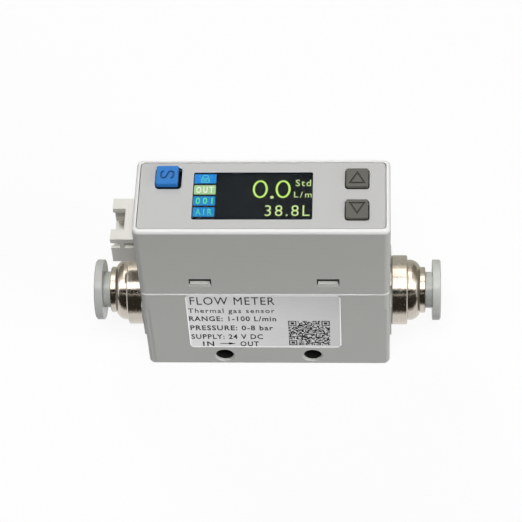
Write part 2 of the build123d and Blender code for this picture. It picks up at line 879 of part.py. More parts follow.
def all_parts():
    """Every node by name."""
    parts = {
        "upper_cover": upper_cover(),
        "flow_body": flow_body(),
        "label": label(),
        "face_plate": face_plate(),
        "display_lens": display_lens(),
        "display_screen": display_screen(),
        "screen_holder": screen_holder(),
        "display_board": display_board(),
        "display_screws": display_screws(),
        "set_button": button(set_button_at, set_button_proud, stroke_s(), set_cap_shift),
        "up_button": button(up_button_at, arrow_button_proud, arrow(1)),
        "down_button": button(down_button_at, arrow_button_proud, arrow(-1)),
        "main_board": main_board(),
        "main_board_screws": main_board_screws(),
        "processor_chip": processor_chip(),
        "power_regulator": power_regulator(),
        "supply_capacitor": supply_capacitor(),
        "display_link": pin_strip(display_link_x, 0, main_board_top, display_board_under,
                                  display_link_pins, False),
        "sensor_link": pin_strip(0, sensor_link_y, sensor_board_top, main_board_under,
                                 sensor_link_pins, True),
        "connector_header": connector_header(),
        "connector_pins": connector_pins(),
        "sensor_board": sensor_board(),
        "sensor_chip": sensor_chip(),
        "sensor_gasket": sensor_gasket(),
        "sensor_screws": sensor_screws(),
        "flow_restrictor": flow_restrictor(),
    }
    for name, at in (("set", set_button_at), ("up", up_button_at), ("down", down_button_at)):
        parts[name + "_switch"] = tact_switch(at)
        parts[name + "_plunger"] = switch_plunger(at)
    makers = {"fitting": fitting_body, "o_ring": o_ring, "tube_seal": tube_seal, "grip_claw": grip_claw,
              "guide_ring": guide_ring, "release_sleeve": release_sleeve, "mesh_disc": mesh_disc}
    for name, maker in makers.items():
        for side, piece in both_sides(maker).items():
            parts[side + "_" + name] = piece
    return parts


def main():
    """Write one STEP file for each node."""
    os.makedirs("parts", exist_ok=True)
    for name, shape in all_parts().items():
        export_step(shape, "parts/" + name + ".step")


if __name__ == "__main__":
    main()
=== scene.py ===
import json
import math
import random

import bmesh
import bpy
from mathutils import Matrix, Vector

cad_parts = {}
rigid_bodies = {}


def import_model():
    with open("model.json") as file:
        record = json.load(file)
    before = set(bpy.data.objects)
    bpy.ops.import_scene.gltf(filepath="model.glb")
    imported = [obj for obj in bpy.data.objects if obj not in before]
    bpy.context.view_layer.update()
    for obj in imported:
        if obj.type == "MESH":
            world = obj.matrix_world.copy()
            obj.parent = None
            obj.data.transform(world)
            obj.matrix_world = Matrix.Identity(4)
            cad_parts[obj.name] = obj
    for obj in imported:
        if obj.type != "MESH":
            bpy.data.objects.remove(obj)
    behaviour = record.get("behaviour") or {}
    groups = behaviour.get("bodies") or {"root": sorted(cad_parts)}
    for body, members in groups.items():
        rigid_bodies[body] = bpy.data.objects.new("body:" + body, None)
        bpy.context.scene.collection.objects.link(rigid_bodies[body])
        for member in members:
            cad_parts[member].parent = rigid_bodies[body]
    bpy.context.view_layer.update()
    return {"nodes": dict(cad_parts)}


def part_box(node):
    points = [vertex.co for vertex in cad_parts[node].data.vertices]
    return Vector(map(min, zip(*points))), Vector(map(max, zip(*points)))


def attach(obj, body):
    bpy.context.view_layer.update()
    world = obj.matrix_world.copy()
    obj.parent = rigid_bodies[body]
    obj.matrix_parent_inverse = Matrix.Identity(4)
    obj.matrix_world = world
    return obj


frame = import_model()
mm = 0.001

# Camera, as the photograph was taken
camera_place = (0.021483, -0.257191, 0.358373)
camera_pitch = 52.461
camera_turn = -5.002
camera_roll = -3.933
camera_lens = 150.444
camera_sensor = 36.0

# Studio light: each lamp has its name, place, size and the irradiance that it gives
room_light = 0.07
floor_glow = 0.9
floor_grey = 0.18
lamps = (("key_lamp", (0.0, -0.41, 1.02), 0.45, 0.54),
         ("side_lamp", (0.85, -0.5, 0.42), 0.5, 0.36),
         ("back_lamp", (-0.35, 0.85, 0.62), 0.5, 0.32))

# Cards that only reflections show, on an arc round the flow axis. Each has its name, its two
# angles from the front horizon over the top, its colour and its strength. The side cards stand
# nearer and leave the middle free.
card_radius = 1.2
side_radius = 1.15
card_half_length = 2.5
card_steps = 24
dark_card = (0.028, 0.026, 0.020)
grey_card = (0.55, 0.555, 0.50)
brown_card = (0.25, 0.235, 0.19)
side_start = 0.4
arc_cards = (("front_dark_low", -5, 35.5, dark_card, 1.3),
             ("front_glint", 35.5, 37.5, (1.0, 0.97, 0.88), 1.2),
             ("front_dark_high", 37.5, 56, dark_card, 0.4),
             ("overhead_white", 56, 94, (1.0, 0.99, 0.97), 2.6),
             ("overhead_gap", 94, 97.5, (0.30, 0.28, 0.22), 1.0),
             ("overhead_warm", 97.5, 130, (1.0, 0.98, 0.92), 2.4),
             ("back_blend", 130, 141, (0.95, 0.92, 0.80), 1.0),
             ("back_grey", 141, 185, grey_card, 1.0))
side_cards = (("side_warm", 100, 120, (0.85, 0.82, 0.72), 1.0),
              ("side_blend", 120, 130, (0.50, 0.47, 0.40), 1.0),
              ("side_brown", 130, 185, brown_card, 1.0))

# Cards on the floor, with their distances in front of the object, behind it below zero
floor_cards = (("front_floor_near", 0.027, 0.033, (0.55, 0.53, 0.50), 1.0),
               ("front_floor_blend", 0.033, 0.042, (0.22, 0.21, 0.19), 1.0),
               ("front_floor", 0.042, 1.3, dark_card, 1.3),
               ("back_floor", -1.3, -0.012, grey_card, 1.0))
floor_card_height = 0.3 * mm

# Bounds of the housing's painted shade inside it, its painted highlight on the top rim, and its painted
# highlight and painted shadow at the seam, in millimetres
deep_inside = 0.55
foot_skin = 0.5
roof_depth = 1.2
seam_gap = 0.08
seam_light = 0.3
seam_shadow = 0.2
rim_light = 0.95
rim_fade = 0.5

# Bounds of the face plate's painted hole shade and painted edge highlight, the button caps' painted shade in
# the sign and painted shadow below the plate, and the label's painted rim highlight, in millimetres
plate_edge = 0.3
plate_skin = 0.01
hole_mouth = 0.16
cap_sign_share = 0.36
cap_sign_depth = 0.03
cap_shade_depth = 0.1
label_highlight_rim = (0.2, 0.25)

# Layers of print and picture
ink_thickness = 0.008 * mm
ink_lift = 0.002 * mm
picture_layer = 0.006 * mm

# Screen picture, measured in the window from its left and top edges
tile_size = (4.1 * mm, 2.22 * mm)
tile_left = 0.1 * mm
tile_top = 0.13 * mm
tile_pitch = 2.67 * mm
tile_corner = 0.2 * mm
dot_pitch = 0.1356
zero_size = (2.82 * mm, 4.3 * mm)
zero_stroke = 0.4 * mm
zero_middle = -3.75 * mm

# Label print, measured from the label's left and top edges
print_weight = 0.02
fine_print_weight = 0.008
arrow_from = 5.97 * mm
arrow_to = 9.08 * mm
arrow_level = -15.95 * mm
code_modules = 35
code_size = 8.1 * mm
code_left = 19.6 * mm
code_top = 8.3 * mm
code_finder = 7


class Value:
    """A number or vector that varies over a surface. Arithmetic on it adds Math nodes."""

    def __init__(self, owner, socket):
        self.owner = owner
        self.socket = socket

    def maths(self, operation, first, second):
        return self.owner.node("ShaderNodeMath", {"operation": operation}, {0: first, 1: second})

    def __add__(self, other):
        return self.maths("ADD", self, other)

    def __radd__(self, other):
        return self.maths("ADD", other, self)

    def __sub__(self, other):
        return self.maths("SUBTRACT", self, other)

    def __rsub__(self, other):
        return self.maths("SUBTRACT", other, self)

    def __mul__(self, other):
        return self.maths("MULTIPLY", self, other)

    def __rmul__(self, other):
        return self.maths("MULTIPLY", other, self)

    def __abs__(self):
        return self.maths("ABSOLUTE", self, 0.0)

    def under(self, level):
        """1 where the value is below a level, 0 elsewhere."""
        return self.maths("LESS_THAN", self, level)

    def over(self, level):
        """1 where the value is above a level, 0 elsewhere."""
        return self.maths("GREATER_THAN", self, level)

    def either(self, other):
        """The larger of two values."""
        return self.maths("MAXIMUM", self, other)

    def wrapped(self, period):
        """Distance from the nearest multiple of a period."""
        return self.maths("PINGPONG", self, period / 2)


class Shading:
    """The nodes of a material or of the world. Positions are the piece's own, in millimetres."""

    def __init__(self, owner):
        owner.use_nodes = True
        self.tree = owner.node_tree
        self.tree.nodes.clear()

    def give(self, socket, value):
        """A link from a value, or a plain number or colour."""
        if isinstance(value, Value):
            self.tree.links.new(value.socket, socket)
        elif isinstance(value, tuple) and socket.type == "RGBA":
            socket.default_value = (*value, 1.0)
        else:
            socket.default_value = value

    def node(self, kind, settings=None, sockets=None, output=0):
        """Any node: its settings first, then its sockets, and one of its outputs."""
        made = self.tree.nodes.new(kind)
        for name, value in (settings or {}).items():
            setattr(made, name, value)
        for name, value in (sockets or {}).items():
            self.give(made.inputs[name], value)
        return Value(self, made.outputs[output]) if made.outputs else None

    def place(self):
        """Position on the piece, as a vector in millimetres."""
        metres = self.node("ShaderNodeTexCoord", output="Object")
        return self.node("ShaderNodeVectorMath", {"operation": "SCALE"}, {"Vector": metres, "Scale": 1 / mm})

    def axes(self, place):
        """The three coordinates of a position."""
        split = self.node("ShaderNodeSeparateXYZ", {}, {"Vector": place})
        return [Value(self, split.socket.node.outputs[index]) for index in range(3)]

    def stretched(self, place, x, y, z):
        """A position scaled along each axis."""
        return self.node("ShaderNodeVectorMath", {"operation": "MULTIPLY"}, {0: place, 1: (x, y, z)})

    def noise(self, place, size, detail=2.0):
        """Soft noise with features of about one size, from 0 to 1."""
        return self.node("ShaderNodeTexNoise", {}, {"Vector": place, "Scale": 1 / size, "Detail": detail})

    def cells(self, place, size):
        """Distance to the nearest of scattered points, for specks."""
        return self.node("ShaderNodeTexVoronoi", {}, {"Vector": place, "Scale": 1 / size})

    def blend(self, factor, first, second):
        """Colour between two colours."""
        return self.node("ShaderNodeMix", {"data_type": "RGBA"}, {"Factor": factor, 6: first, 7: second},
                         output=2)

    def seen(self):
        """1 for rays of the camera, of reflections and through clear plastic, 0 for other light."""
        camera, glossy, clear = (self.node("ShaderNodeLightPath", output="Is " + kind + " Ray")
                                 for kind in ("Camera", "Glossy", "Transmission"))
        return camera.either(glossy).either(clear)


class Finish(Shading):
    """A material with one main shader."""

    def __init__(self, name, **sockets):
        self.material = bpy.data.materials.new(name)
        super().__init__(self.material)
        surface = self.node("ShaderNodeBsdfPrincipled")
        self.shader = surface.socket.node
        self.node("ShaderNodeOutputMaterial", {}, {"Surface": surface})
        self.set(**sockets)

    def set(self, **sockets):
        """Values or links of the shader's sockets, by their names with underscores."""
        for name, value in sockets.items():
            self.give(self.shader.inputs[name.replace("_", " ")], value)

    def bump(self, height, depth):
        """Surface relief from a height of 0 to 1, with its depth in millimetres."""
        self.set(Normal=self.node("ShaderNodeBump", {}, {"Height": height, "Distance": depth * mm}))


def plain_colour(finish):
    """The colour that a finish has so far."""
    return Value(finish, finish.shader.inputs["Base Color"].links[0].from_socket)


def shade(colour, factor):
    """A colour made lighter or darker."""
    return tuple(min(1.0, part * factor) for part in colour)


def moulded(name, colour, grain=0.3, relief=0.012, roughness=0.5, spread=0.03):
    """Injection-moulded plastic: fine eroded grain, slow flow marks and rare specks."""
    finish = Finish(name)
    place = finish.place()
    fine = finish.noise(place, grain, 3.0)
    flow = finish.noise(place, 9.0, 1.0)
    tone = fine * 0.5 + flow * 0.5
    colours = finish.blend(tone, shade(colour, 1 - spread), shade(colour, 1 + spread))
    specks = finish.cells(place, 1.7).under(0.035)
    finish.set(Base_Color=finish.blend(specks * 0.35, colours, shade(colour, 0.6)),
               Roughness=roughness - 0.06 + fine * 0.12)
    finish.bump(fine, relief)
    return finish


def housing_plastic(name, colour):
    """Moulding of the housing, with painted shade where it goes inside, a painted highlight on its top rim,
    and a painted highlight and painted shadow along its seam.
    """
    finish = moulded(name, colour, 0.28, 0.012, 0.36)
    low, high = (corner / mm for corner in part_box("upper_cover"))
    x, y, z = finish.axes(finish.place())
    plain = plain_colour(finish)
    above = z - low.z
    # Painted highlight: the top rim is lightened towards white
    edge = (z - (high.z - rim_light)) * (1 / rim_fade)
    # Painted highlight just below the seam, painted shadow just above it
    seam_highlight_band = above.over(-seam_gap - seam_light) * above.under(0.0)
    seam_shadow_band = above.over(0.0) * above.under(seam_shadow)
    rim_highlighted = finish.blend(edge, plain, (0.94, 0.94, 0.925))
    seam_highlighted = finish.blend(seam_highlight_band, rim_highlighted, (0.95, 0.95, 0.935))
    shaded = finish.blend(seam_shadow_band * 0.6, seam_highlighted, shade(colour, 0.3))
    # Painted shade: near black inside the housing, in its holes, windows and deep places
    within = abs(x).under(high.x - deep_inside) * abs(y).under(high.y - deep_inside)
    painted_inner_shade = within * z.over(foot_skin) * z.under(high.z - roof_depth)
    finish.set(Base_Color=finish.blend(painted_inner_shade, shaded, (0.02, 0.02, 0.018)))
    return finish


def plate_plastic(name, colour):
    """Moulding of the face plate, with painted shade in its holes and painted highlights on the edges round
    them.
    """
    finish = moulded(name, colour, 0.2, 0.004, 0.44, 0.012)
    low, high = (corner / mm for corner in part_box("face_plate"))
    x, y, z = finish.axes(finish.place())
    plain = plain_colour(finish)
    # Painted highlight on the hole edges, and painted shade on the hole walls below them
    near = abs(x).under(high.x - plate_edge) * abs(y).under(high.y - plate_edge)
    edge_highlighted = finish.blend(near * z.under(high.z - plate_skin), plain, (0.95, 0.95, 0.94))
    finish.set(Base_Color=finish.blend(z.under(high.z - hole_mouth), edge_highlighted, (0.012, 0.012, 0.012)))
    return finish


def engraved_cap(name, node, colour):
    """Smooth button cap with painted shade in its sunk sign and a painted shadow, near black, on its part
    below the plate.
    """
    finish = moulded(name, colour, 0.22, 0.006, 0.36, 0.04)
    finish.set(Specular_IOR_Level=0.2)
    low, high = (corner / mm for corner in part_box(node))
    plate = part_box("face_plate")[1].z / mm
    x, y, z = finish.axes(finish.place())
    middle = (low + high) / 2
    reach = (high.x - low.x) * cap_sign_share
    # Painted shade: the sunk sign is darkened
    inside = abs(x - middle.x).under(reach) * abs(y - middle.y).under(reach)
    sunk = inside * z.under(high.z - cap_sign_depth)
    plain = plain_colour(finish)
    sign_shaded = finish.blend(sunk, plain, shade(colour, 0.5))
    # base: painted shadow, near black, on the cap below the plate's face, in the gap round it
    base = z.under(plate - cap_shade_depth)
    finish.set(Base_Color=finish.blend(base, sign_shaded, (0.008, 0.008, 0.009)))
    return finish


def nickel_plate(name, colour):
    """Plated turned brass: lines round the flow axis, fine ripples that break up reflections, pits."""
    finish = Finish(name, Metallic=1.0)
    place = finish.place()
    lines = finish.noise(finish.stretched(place, 1.0, 0.03, 0.03), 0.2, 2.0)
    ripple = finish.noise(finish.stretched(place, 1.0, 0.5, 0.5), 0.35, 3.0)
    haze = finish.noise(place, 2.0, 3.0)
    pits = finish.cells(place, 0.5).under(0.16)
    tone = lines * 0.6 + haze * 0.4
    finish.set(Base_Color=finish.blend(tone, shade(colour, 0.72), shade(colour, 1.22)),
               Roughness=0.07 + lines * 0.08 + haze * 0.12 + pits * 0.2)
    finish.bump(lines * 0.4 + ripple * 0.6, 0.035)
    return finish


def satin_foil(name, node, colour):
    """Silver foil under a matte varnish: fine brush lines, painted shade darker to one end, a painted
    highlight round its cut rim.
    """
    finish = Finish(name)
    place = finish.place()
    low, high = (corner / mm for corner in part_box(node))
    x, y, z = finish.axes(place)
    brushed = finish.noise(finish.stretched(place, 0.05, 1.0, 1.0), 0.12, 2.0)
    cloud = finish.noise(place, 6.0, 1.0)
    # Painted shade: darker towards the label's right end
    shade_fall = (x - low.x) * (0.6 / (high.x - low.x))
    foil = finish.blend(brushed * 0.3 + cloud * 0.2 + shade_fall, shade(colour, 1.06), shade(colour, 0.7))
    # rim: painted highlight, a near-white metallic band round the label's edge
    side = abs(x - (low.x + high.x) / 2).over((high.x - low.x) / 2 - label_highlight_rim[0])
    level = abs(z - (low.z + high.z) / 2).over((high.z - low.z) / 2 - label_highlight_rim[1])
    rim = side.either(level)
    finish.set(Base_Color=finish.blend(rim, foil, (0.97, 0.97, 0.97)), Metallic=0.6 + rim * 0.4,
               Roughness=0.26 + brushed * 0.06)
    finish.bump(brushed, 0.001)
    return finish


def clear_window(name):
    """Clear plastic window with a coating that keeps reflections down and a faint smoke tint."""
    finish = Finish(name, Base_Color=(0.93, 0.94, 0.95), Transmission_Weight=1.0, IOR=1.06, Metallic=0.0)
    finish.set(Roughness=0.01 + finish.noise(finish.place(), 5.0, 2.0) * 0.02)
    return finish


def lit_picture(name, colour, grid=0.05):
    """Lit dots of the screen, with the darker grid between them."""
    finish = Finish(name, Base_Color=(0.004, 0.005, 0.006), Roughness=0.4, Specular_IOR_Level=0.05,
                    Emission_Strength=1.0)
    x, y, z = finish.axes(finish.place())
    dots = x.wrapped(dot_pitch).over(dot_pitch * grid) * y.wrapped(dot_pitch).over(dot_pitch * grid)
    finish.set(Emission_Color=finish.blend(dots, shade(colour, 0.72), colour))
    return finish


def printed_ink(name, colour):
    """Black ink of a label printer, slightly uneven."""
    finish = Finish(name, Specular_IOR_Level=0.3)
    place = finish.place()
    cover = finish.noise(place, 0.2, 2.0)
    finish.set(Base_Color=finish.blend(cover, shade(colour, 0.7), shade(colour, 1.5)),
               Roughness=0.5 + cover * 0.2)
    return finish


def circuit_board(name):
    """Green solder mask over copper tracks, with the weave of the laminate in it."""
    finish = Finish(name, Coat_Roughness=0.15)
    place = finish.place()
    x, y, z = finish.axes(place)
    weave = x.wrapped(0.5) + y.wrapped(0.5)
    region = finish.noise(place, 4.0, 0.0)
    across = y.wrapped(0.8).under(0.13) * region.over(0.52)
    along = x.wrapped(0.8).under(0.13) * region.under(0.44)
    tracks = across + along
    mask = finish.blend(tracks, (0.012, 0.10, 0.035), (0.04, 0.24, 0.08))
    dull = finish.blend(weave, mask, (0.02, 0.14, 0.05))
    finish.set(Base_Color=finish.blend(0.35, mask, dull), Roughness=0.35 + weave * 0.1, Coat_Weight=0.4)
    finish.bump(tracks + weave * 0.2, 0.02)
    return finish


def chip_package(name):
    """Black moulding compound of chips, switches and strips."""
    return moulded(name, (0.018, 0.018, 0.02), 0.12, 0.006, 0.55, 0.2)


def rubber(name):
    """Black seal rubber with a soft sheen and a dusty bloom."""
    finish = Finish(name, Sheen_Weight=0.15)
    place = finish.place()
    bloom = finish.noise(place, 1.2, 3.0)
    finish.set(Base_Color=finish.blend(bloom, (0.012, 0.012, 0.012), (0.035, 0.035, 0.034)),
               Roughness=0.6 + bloom * 0.2)
    finish.bump(bloom, 0.006)
    return finish


def bright_steel(name, colour, grain=0.15):
    """Small stainless parts: fine cold-formed grain."""
    finish = Finish(name, Metallic=1.0)
    place = finish.place()
    fine = finish.noise(place, grain, 2.0)
    finish.set(Base_Color=finish.blend(fine, shade(colour, 0.85), shade(colour, 1.1)),
               Roughness=0.2 + fine * 0.15)
    finish.bump(fine, 0.003)
    return finish


def dress(finish, *nodes):
    """Gives CAD nodes their finish."""
    for node in nodes:
        slots = frame["nodes"][node].material_slots
        for slot in slots:
            slot.material = finish.material


def finishes():
    """Every CAD node's finish."""
    both = ("inlet_", "outlet_")
    dress(housing_plastic("housing_moulding", (0.635, 0.64, 0.61)), "upper_cover", "flow_body")
    dress(plate_plastic("plate_moulding", (0.55, 0.55, 0.545)), "face_plate")
    dress(clear_window("window_plastic"), "display_lens")
    dress(lit_picture("screen_off", (0.0025, 0.0035, 0.0042)), "display_screen")
    dress(engraved_cap("blue_cap", "set_button", (0.03, 0.215, 0.62)), "set_button")
    for node in ("up_button", "down_button"):
        dress(engraved_cap(node + "_cap", node, (0.13, 0.13, 0.113)), node)
    dress(satin_foil("label_foil", "label", (0.86, 0.86, 0.865)), "label")
    dress(nickel_plate("nickel", (0.575, 0.525, 0.465)), *[side + part for side in both
                                                        for part in ("fitting", "guide_ring")])
    dress(moulded("sleeve_moulding", (0.58, 0.595, 0.57), 0.5, 0.003, 0.24, 0.02),
          *[side + "release_sleeve" for side in both])
    dress(moulded("nylon", (0.83, 0.815, 0.765), 0.5, 0.006, 0.42, 0.02), "connector_header")
    dress(bright_steel("tinned_pin", (0.78, 0.75, 0.68)), "connector_pins")
    dress(circuit_board("solder_mask"), "display_board", "main_board", "sensor_board")
    dress(moulded("white_holder", (0.72, 0.72, 0.71), 0.3, 0.004, 0.5), "screen_holder")
    dress(chip_package("black_package"), "set_switch", "up_switch", "down_switch", "processor_chip",
          "power_regulator", "display_link", "sensor_link", "sensor_chip")
    dress(moulded("ivory", (0.66, 0.62, 0.50), 0.2, 0.003, 0.4), "set_plunger", "up_plunger", "down_plunger")
    dress(bright_steel("can", (0.74, 0.74, 0.75), 0.4), "supply_capacitor")
    dress(bright_steel("small_steel", (0.6, 0.59, 0.57)), "display_screws", "main_board_screws",
          "sensor_screws", *[side + part for side in both for part in ("grip_claw", "mesh_disc")])
    dress(rubber("seal_rubber"), "sensor_gasket", *[side + part for side in both
                                                    for part in ("o_ring", "tube_seal")])
    dress(moulded("restrictor_moulding", (0.68, 0.68, 0.66), 0.25, 0.004, 0.45), "flow_restrictor")


def flat_plate(width, height, corner=0.0):
    """Flat rounded rectangle about the origin."""
    form = bmesh.new()
    bmesh.ops.create_grid(form, x_segments=1, y_segments=1, size=0.5)
    bmesh.ops.scale(form, verts=form.verts, vec=(width, height, 1))
    if corner:
        bmesh.ops.bevel(form, geom=form.verts[:], offset=corner, affect="VERTICES", segments=5,
                        profile=0.5, material=-1)
    return form


def rim_only(form, stroke):
    """The rim of a flat form, with its inside cut out."""
    rim = bmesh.ops.inset_region(form, faces=form.faces[:], thickness=stroke, use_boundary=True,
                                 use_even_offset=True)["faces"]
    bmesh.ops.delete(form, geom=[face for face in form.faces if face not in rim], context="FACES")
    return form


def flat_oval(width, height):
    """Flat oval about the origin."""
    form = bmesh.new()
    bmesh.ops.create_circle(form, cap_ends=True, segments=40, radius=0.5)
    bmesh.ops.scale(form, verts=form.verts, vec=(width, height, 1))
    return form


def moved(form, x, y):
    """The flat form, moved in its plane."""
    bmesh.ops.translate(form, verts=form.verts, vec=(x, y, 0))
    return form


def lettering(text, left, base, width, cap, spacing=1.0, weight=0.0):
    """Flat words whose left end, base line, width and capital height are given."""
    outline = bpy.data.curves.new("words", "FONT")
    outline.body = text
    outline.space_character = spacing
    outline.resolution_u = 3
    outline.offset = weight
    carrier = bpy.data.objects.new("words", outline)
    bpy.context.scene.collection.objects.link(carrier)
    bpy.context.view_layer.update()
    mesh = bpy.data.meshes.new_from_object(carrier)
    form = bmesh.new()
    form.from_mesh(mesh)
    for used in (carrier, mesh, outline):
        bpy.data.batch_remove([used])
    low = min(vert.co.x for vert in form.verts)
    high = max(vert.co.x for vert in form.verts)
    bmesh.ops.translate(form, verts=form.verts, vec=(-low, 0, 0))
    bmesh.ops.scale(form, verts=form.verts, vec=(width / (high - low), cap / capital_height, 1))
    return moved(form, left, base)


def capital():
    """Height of a capital letter in the built-in font."""
    outline = bpy.data.curves.new("capital", "FONT")
    outline.body = "H"
    carrier = bpy.data.objects.new("capital", outline)
    bpy.context.scene.collection.objects.link(carrier)
    bpy.context.view_layer.update()
    height = carrier.dimensions.y
    bpy.data.batch_remove([carrier, outline])
    return height


def joined(*forms):
    """Several flat forms as one."""
    whole = forms[0]
    for form in forms[1:]:
        mesh = bpy.data.meshes.new("part")
        form.to_mesh(mesh)
        form.free()
        whole.from_mesh(mesh)
        bpy.data.meshes.remove(mesh)
    return whole


def laid(name, form, place, thickness, finish):
    """A flat form given its thickness, turned and set on its surface, riding on the housing."""
    bmesh.ops.recalc_face_normals(form, faces=form.faces)
    if form.faces[0].normal.z < 0:
        bmesh.ops.reverse_faces(form, faces=form.faces)
    solid = bmesh.ops.extrude_face_region(form, geom=form.faces[:])["geom"]
    raised = [part for part in solid if isinstance(part, bmesh.types.BMVert)]
    bmesh.ops.translate(form, verts=raised, vec=(0, 0, thickness))
    bmesh.ops.recalc_face_normals(form, faces=form.faces)
    form.transform(place)
    mesh = bpy.data.meshes.new(name)
    form.to_mesh(mesh)
    form.free()
    mesh.materials.append(finish.material)
    piece = bpy.data.objects.new(name, mesh)
    bpy.context.scene.collection.objects.link(piece)
    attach(piece, "root")
    return piece


def screen_picture():
    """Everything that the screen shows, in the thin gap under the window."""
    low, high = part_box("display_lens")
    left, top = low.x, high.y
    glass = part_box("display_screen")[1].z
    tile_width, tile_height = tile_size
    blue = lit_picture("tile_blue", (0.016, 0.27, 0.76))
    calm_blue = lit_picture("tile_calm_blue", (0.022, 0.26, 0.62))
    pale = lit_picture("tile_pale_green", (0.43, 0.67, 0.33))
    white = lit_picture("word_white", (0.97, 1.0, 0.88))
    green = lit_picture("word_green", (0.13, 0.85, 0.32))
    sea = lit_picture("word_sea_green", (0.08, 0.66, 0.55))
    teal = lit_picture("padlock_teal", (0.10, 0.62, 0.60))
    lime = lit_picture("digit_lime", (0.62, 0.93, 0.17))
    pale_lime = lit_picture("unit_lime", (0.68, 0.86, 0.34))
    first = Matrix.Translation((0, 0, glass + picture_layer / 2))
    second = Matrix.Translation((0, 0, glass + picture_layer * 2))

    def tile(index):
        x = left + tile_left + tile_width / 2
        y = top - tile_top - tile_height / 2 - index * tile_pitch
        return x, y

    tiles = (("lock", blue), ("output", pale), ("channel", calm_blue), ("gas", calm_blue))
    for index, (name, finish) in enumerate(tiles):
        form = moved(flat_plate(tile_width, tile_height, tile_corner), *tile(index))
        laid("picture_tile_" + name, form, first, picture_layer, finish)
    for index, (text, finish) in enumerate((("OUT", white), ("001", green), ("AIR", sea)), 1):
        x, y = tile(index)
        width = tile_width * 0.78
        cap = tile_height * 0.64
        form = lettering(text, x - width / 2, y - cap / 2, width, cap, 1.5, 0.02)
        laid("picture_word_" + text.lower(), form, second, picture_layer, finish)
    x, y = tile(0)
    case = rim_only(flat_plate(1.65 * mm, 0.98 * mm, 0.15 * mm), 0.22 * mm)
    shackle = rim_only(flat_plate(1.2 * mm, 0.95 * mm, 0.3 * mm), 0.2 * mm)
    slot = flat_plate(0.55 * mm, 0.2 * mm)
    padlock = joined(moved(case, x, y - 0.42 * mm), moved(shackle, x, y + 0.4 * mm),
                     moved(slot, x, y - 0.42 * mm))
    laid("picture_padlock", padlock, second, picture_layer, teal)

    for name, middle in (("whole", 12.58), ("tenth", 16.87)):
        zero = rim_only(flat_oval(*zero_size), zero_stroke)
        laid("picture_flow_" + name, moved(zero, left + middle * mm, top + zero_middle), first,
             picture_layer, lime)
    point = moved(flat_oval(0.7 * mm, 0.68 * mm), left + 14.82 * mm, top - 5.72 * mm)
    laid("picture_flow_point", point, first, picture_layer, pale_lime)
    words = (("basis", "Std", 19.2, 22.08, -3.02, 1.5, 1.2, 0.004),
             ("unit", "L/m", 18.95, 22.26, -5.75, 1.35, 1.35, 0.004),
             ("total", "38.8L", 13.6, 21.93, -10.2, 2.55, 1.2, -0.004))
    for name, text, x0, x1, base, cap, spacing, weight in words:
        form = lettering(text, left + x0 * mm, top + base * mm, (x1 - x0) * mm, cap * mm, spacing, weight)
        laid("picture_" + name, form, first, picture_layer, pale_lime)


def code_square():
    """Square of random modules with three plain corner marks. It encodes nothing."""
    dice = random.Random(7)
    form = bmesh.new()
    bmesh.ops.create_grid(form, x_segments=code_modules, y_segments=code_modules, size=code_size / 2)
    module = code_size / code_modules
    light = []
    for face in form.faces:
        centre = face.calc_center_median()
        column = int((centre.x + code_size / 2) / module)
        row = int((centre.y + code_size / 2) / module)
        dark = dice.random() < 0.52
        last = code_modules - 1
        for corner in ((0, last), (last, last), (0, 0)):
            ring = max(abs(column - corner[0]), abs(row - corner[1]))
            mark = code_finder - 1
            if ring <= mark + 1:
                inner = max(abs(abs(column - corner[0]) - mark / 2), abs(abs(row - corner[1]) - mark / 2))
                dark = inner in (0, 1, 3)
        if not dark:
            light.append(face)
    bmesh.ops.delete(form, geom=light, context="FACES")
    return form


def label_print():
    """Plain words, the flow arrow and the code square on the label."""
    low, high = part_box("label")
    ink = printed_ink("label_ink", (0.010, 0.010, 0.012))
    surface = Matrix.Translation((low.x, low.y - ink_lift, high.z)) @ Matrix.Rotation(math.pi / 2, 4, "X")
    lines = (("title", "FLOW METER", 0.85, 17.2, -3.03, 2.42, 1.12, 0.0),
             ("sensor", "Thermal gas sensor", 0.35, 17.1, -5.7, 1.42, 1.2, fine_print_weight),
             ("range", "RANGE: 1-100 L/min", 0.35, 17.3, -8.38, 1.48, 1.15, print_weight),
             ("pressure", "PRESSURE: 0-8 bar", 0.4, 16.6, -11.42, 1.5, 1.15, print_weight),
             ("supply", "SUPPLY: 24 V DC", 0.4, 14.5, -14.37, 1.5, 1.15, print_weight),
             ("inlet", "IN", 2.55, 4.75, -16.78, 1.5, 1.3, print_weight),
             ("outlet", "OUT", 9.95, 13.6, -16.78, 1.5, 1.2, print_weight))
    for name, text, x0, x1, base, cap, spacing, weight in lines:
        form = lettering(text, x0 * mm, base * mm, (x1 - x0) * mm, cap * mm, spacing, weight)
        laid("print_" + name, form, surface, ink_thickness, ink)
    head_length = (arrow_to - arrow_from) * 0.45
    shaft = moved(flat_plate(arrow_to - arrow_from - head_length / 2, 0.2 * mm),
                  (arrow_from + arrow_to - head_length / 2) / 2, arrow_level)
    head = bmesh.new()
    bmesh.ops.create_circle(head, cap_ends=True, segments=3, radius=1.0)
    bmesh.ops.rotate(head, verts=head.verts, cent=(0, 0, 0), matrix=Matrix.Rotation(-math.pi / 2, 3, "Z"))
    bmesh.ops.scale(head, verts=head.verts, vec=(head_length / 1.5, 0.42 * mm, 1))
    moved(head, arrow_to - head_length * 2 / 3, arrow_level)
    laid("print_arrow", joined(shaft, head), surface, ink_thickness, ink)
    square = moved(code_square(), code_left + code_size / 2, -code_top - code_size / 2)
    laid("print_code", square, surface, ink_thickness, ink)


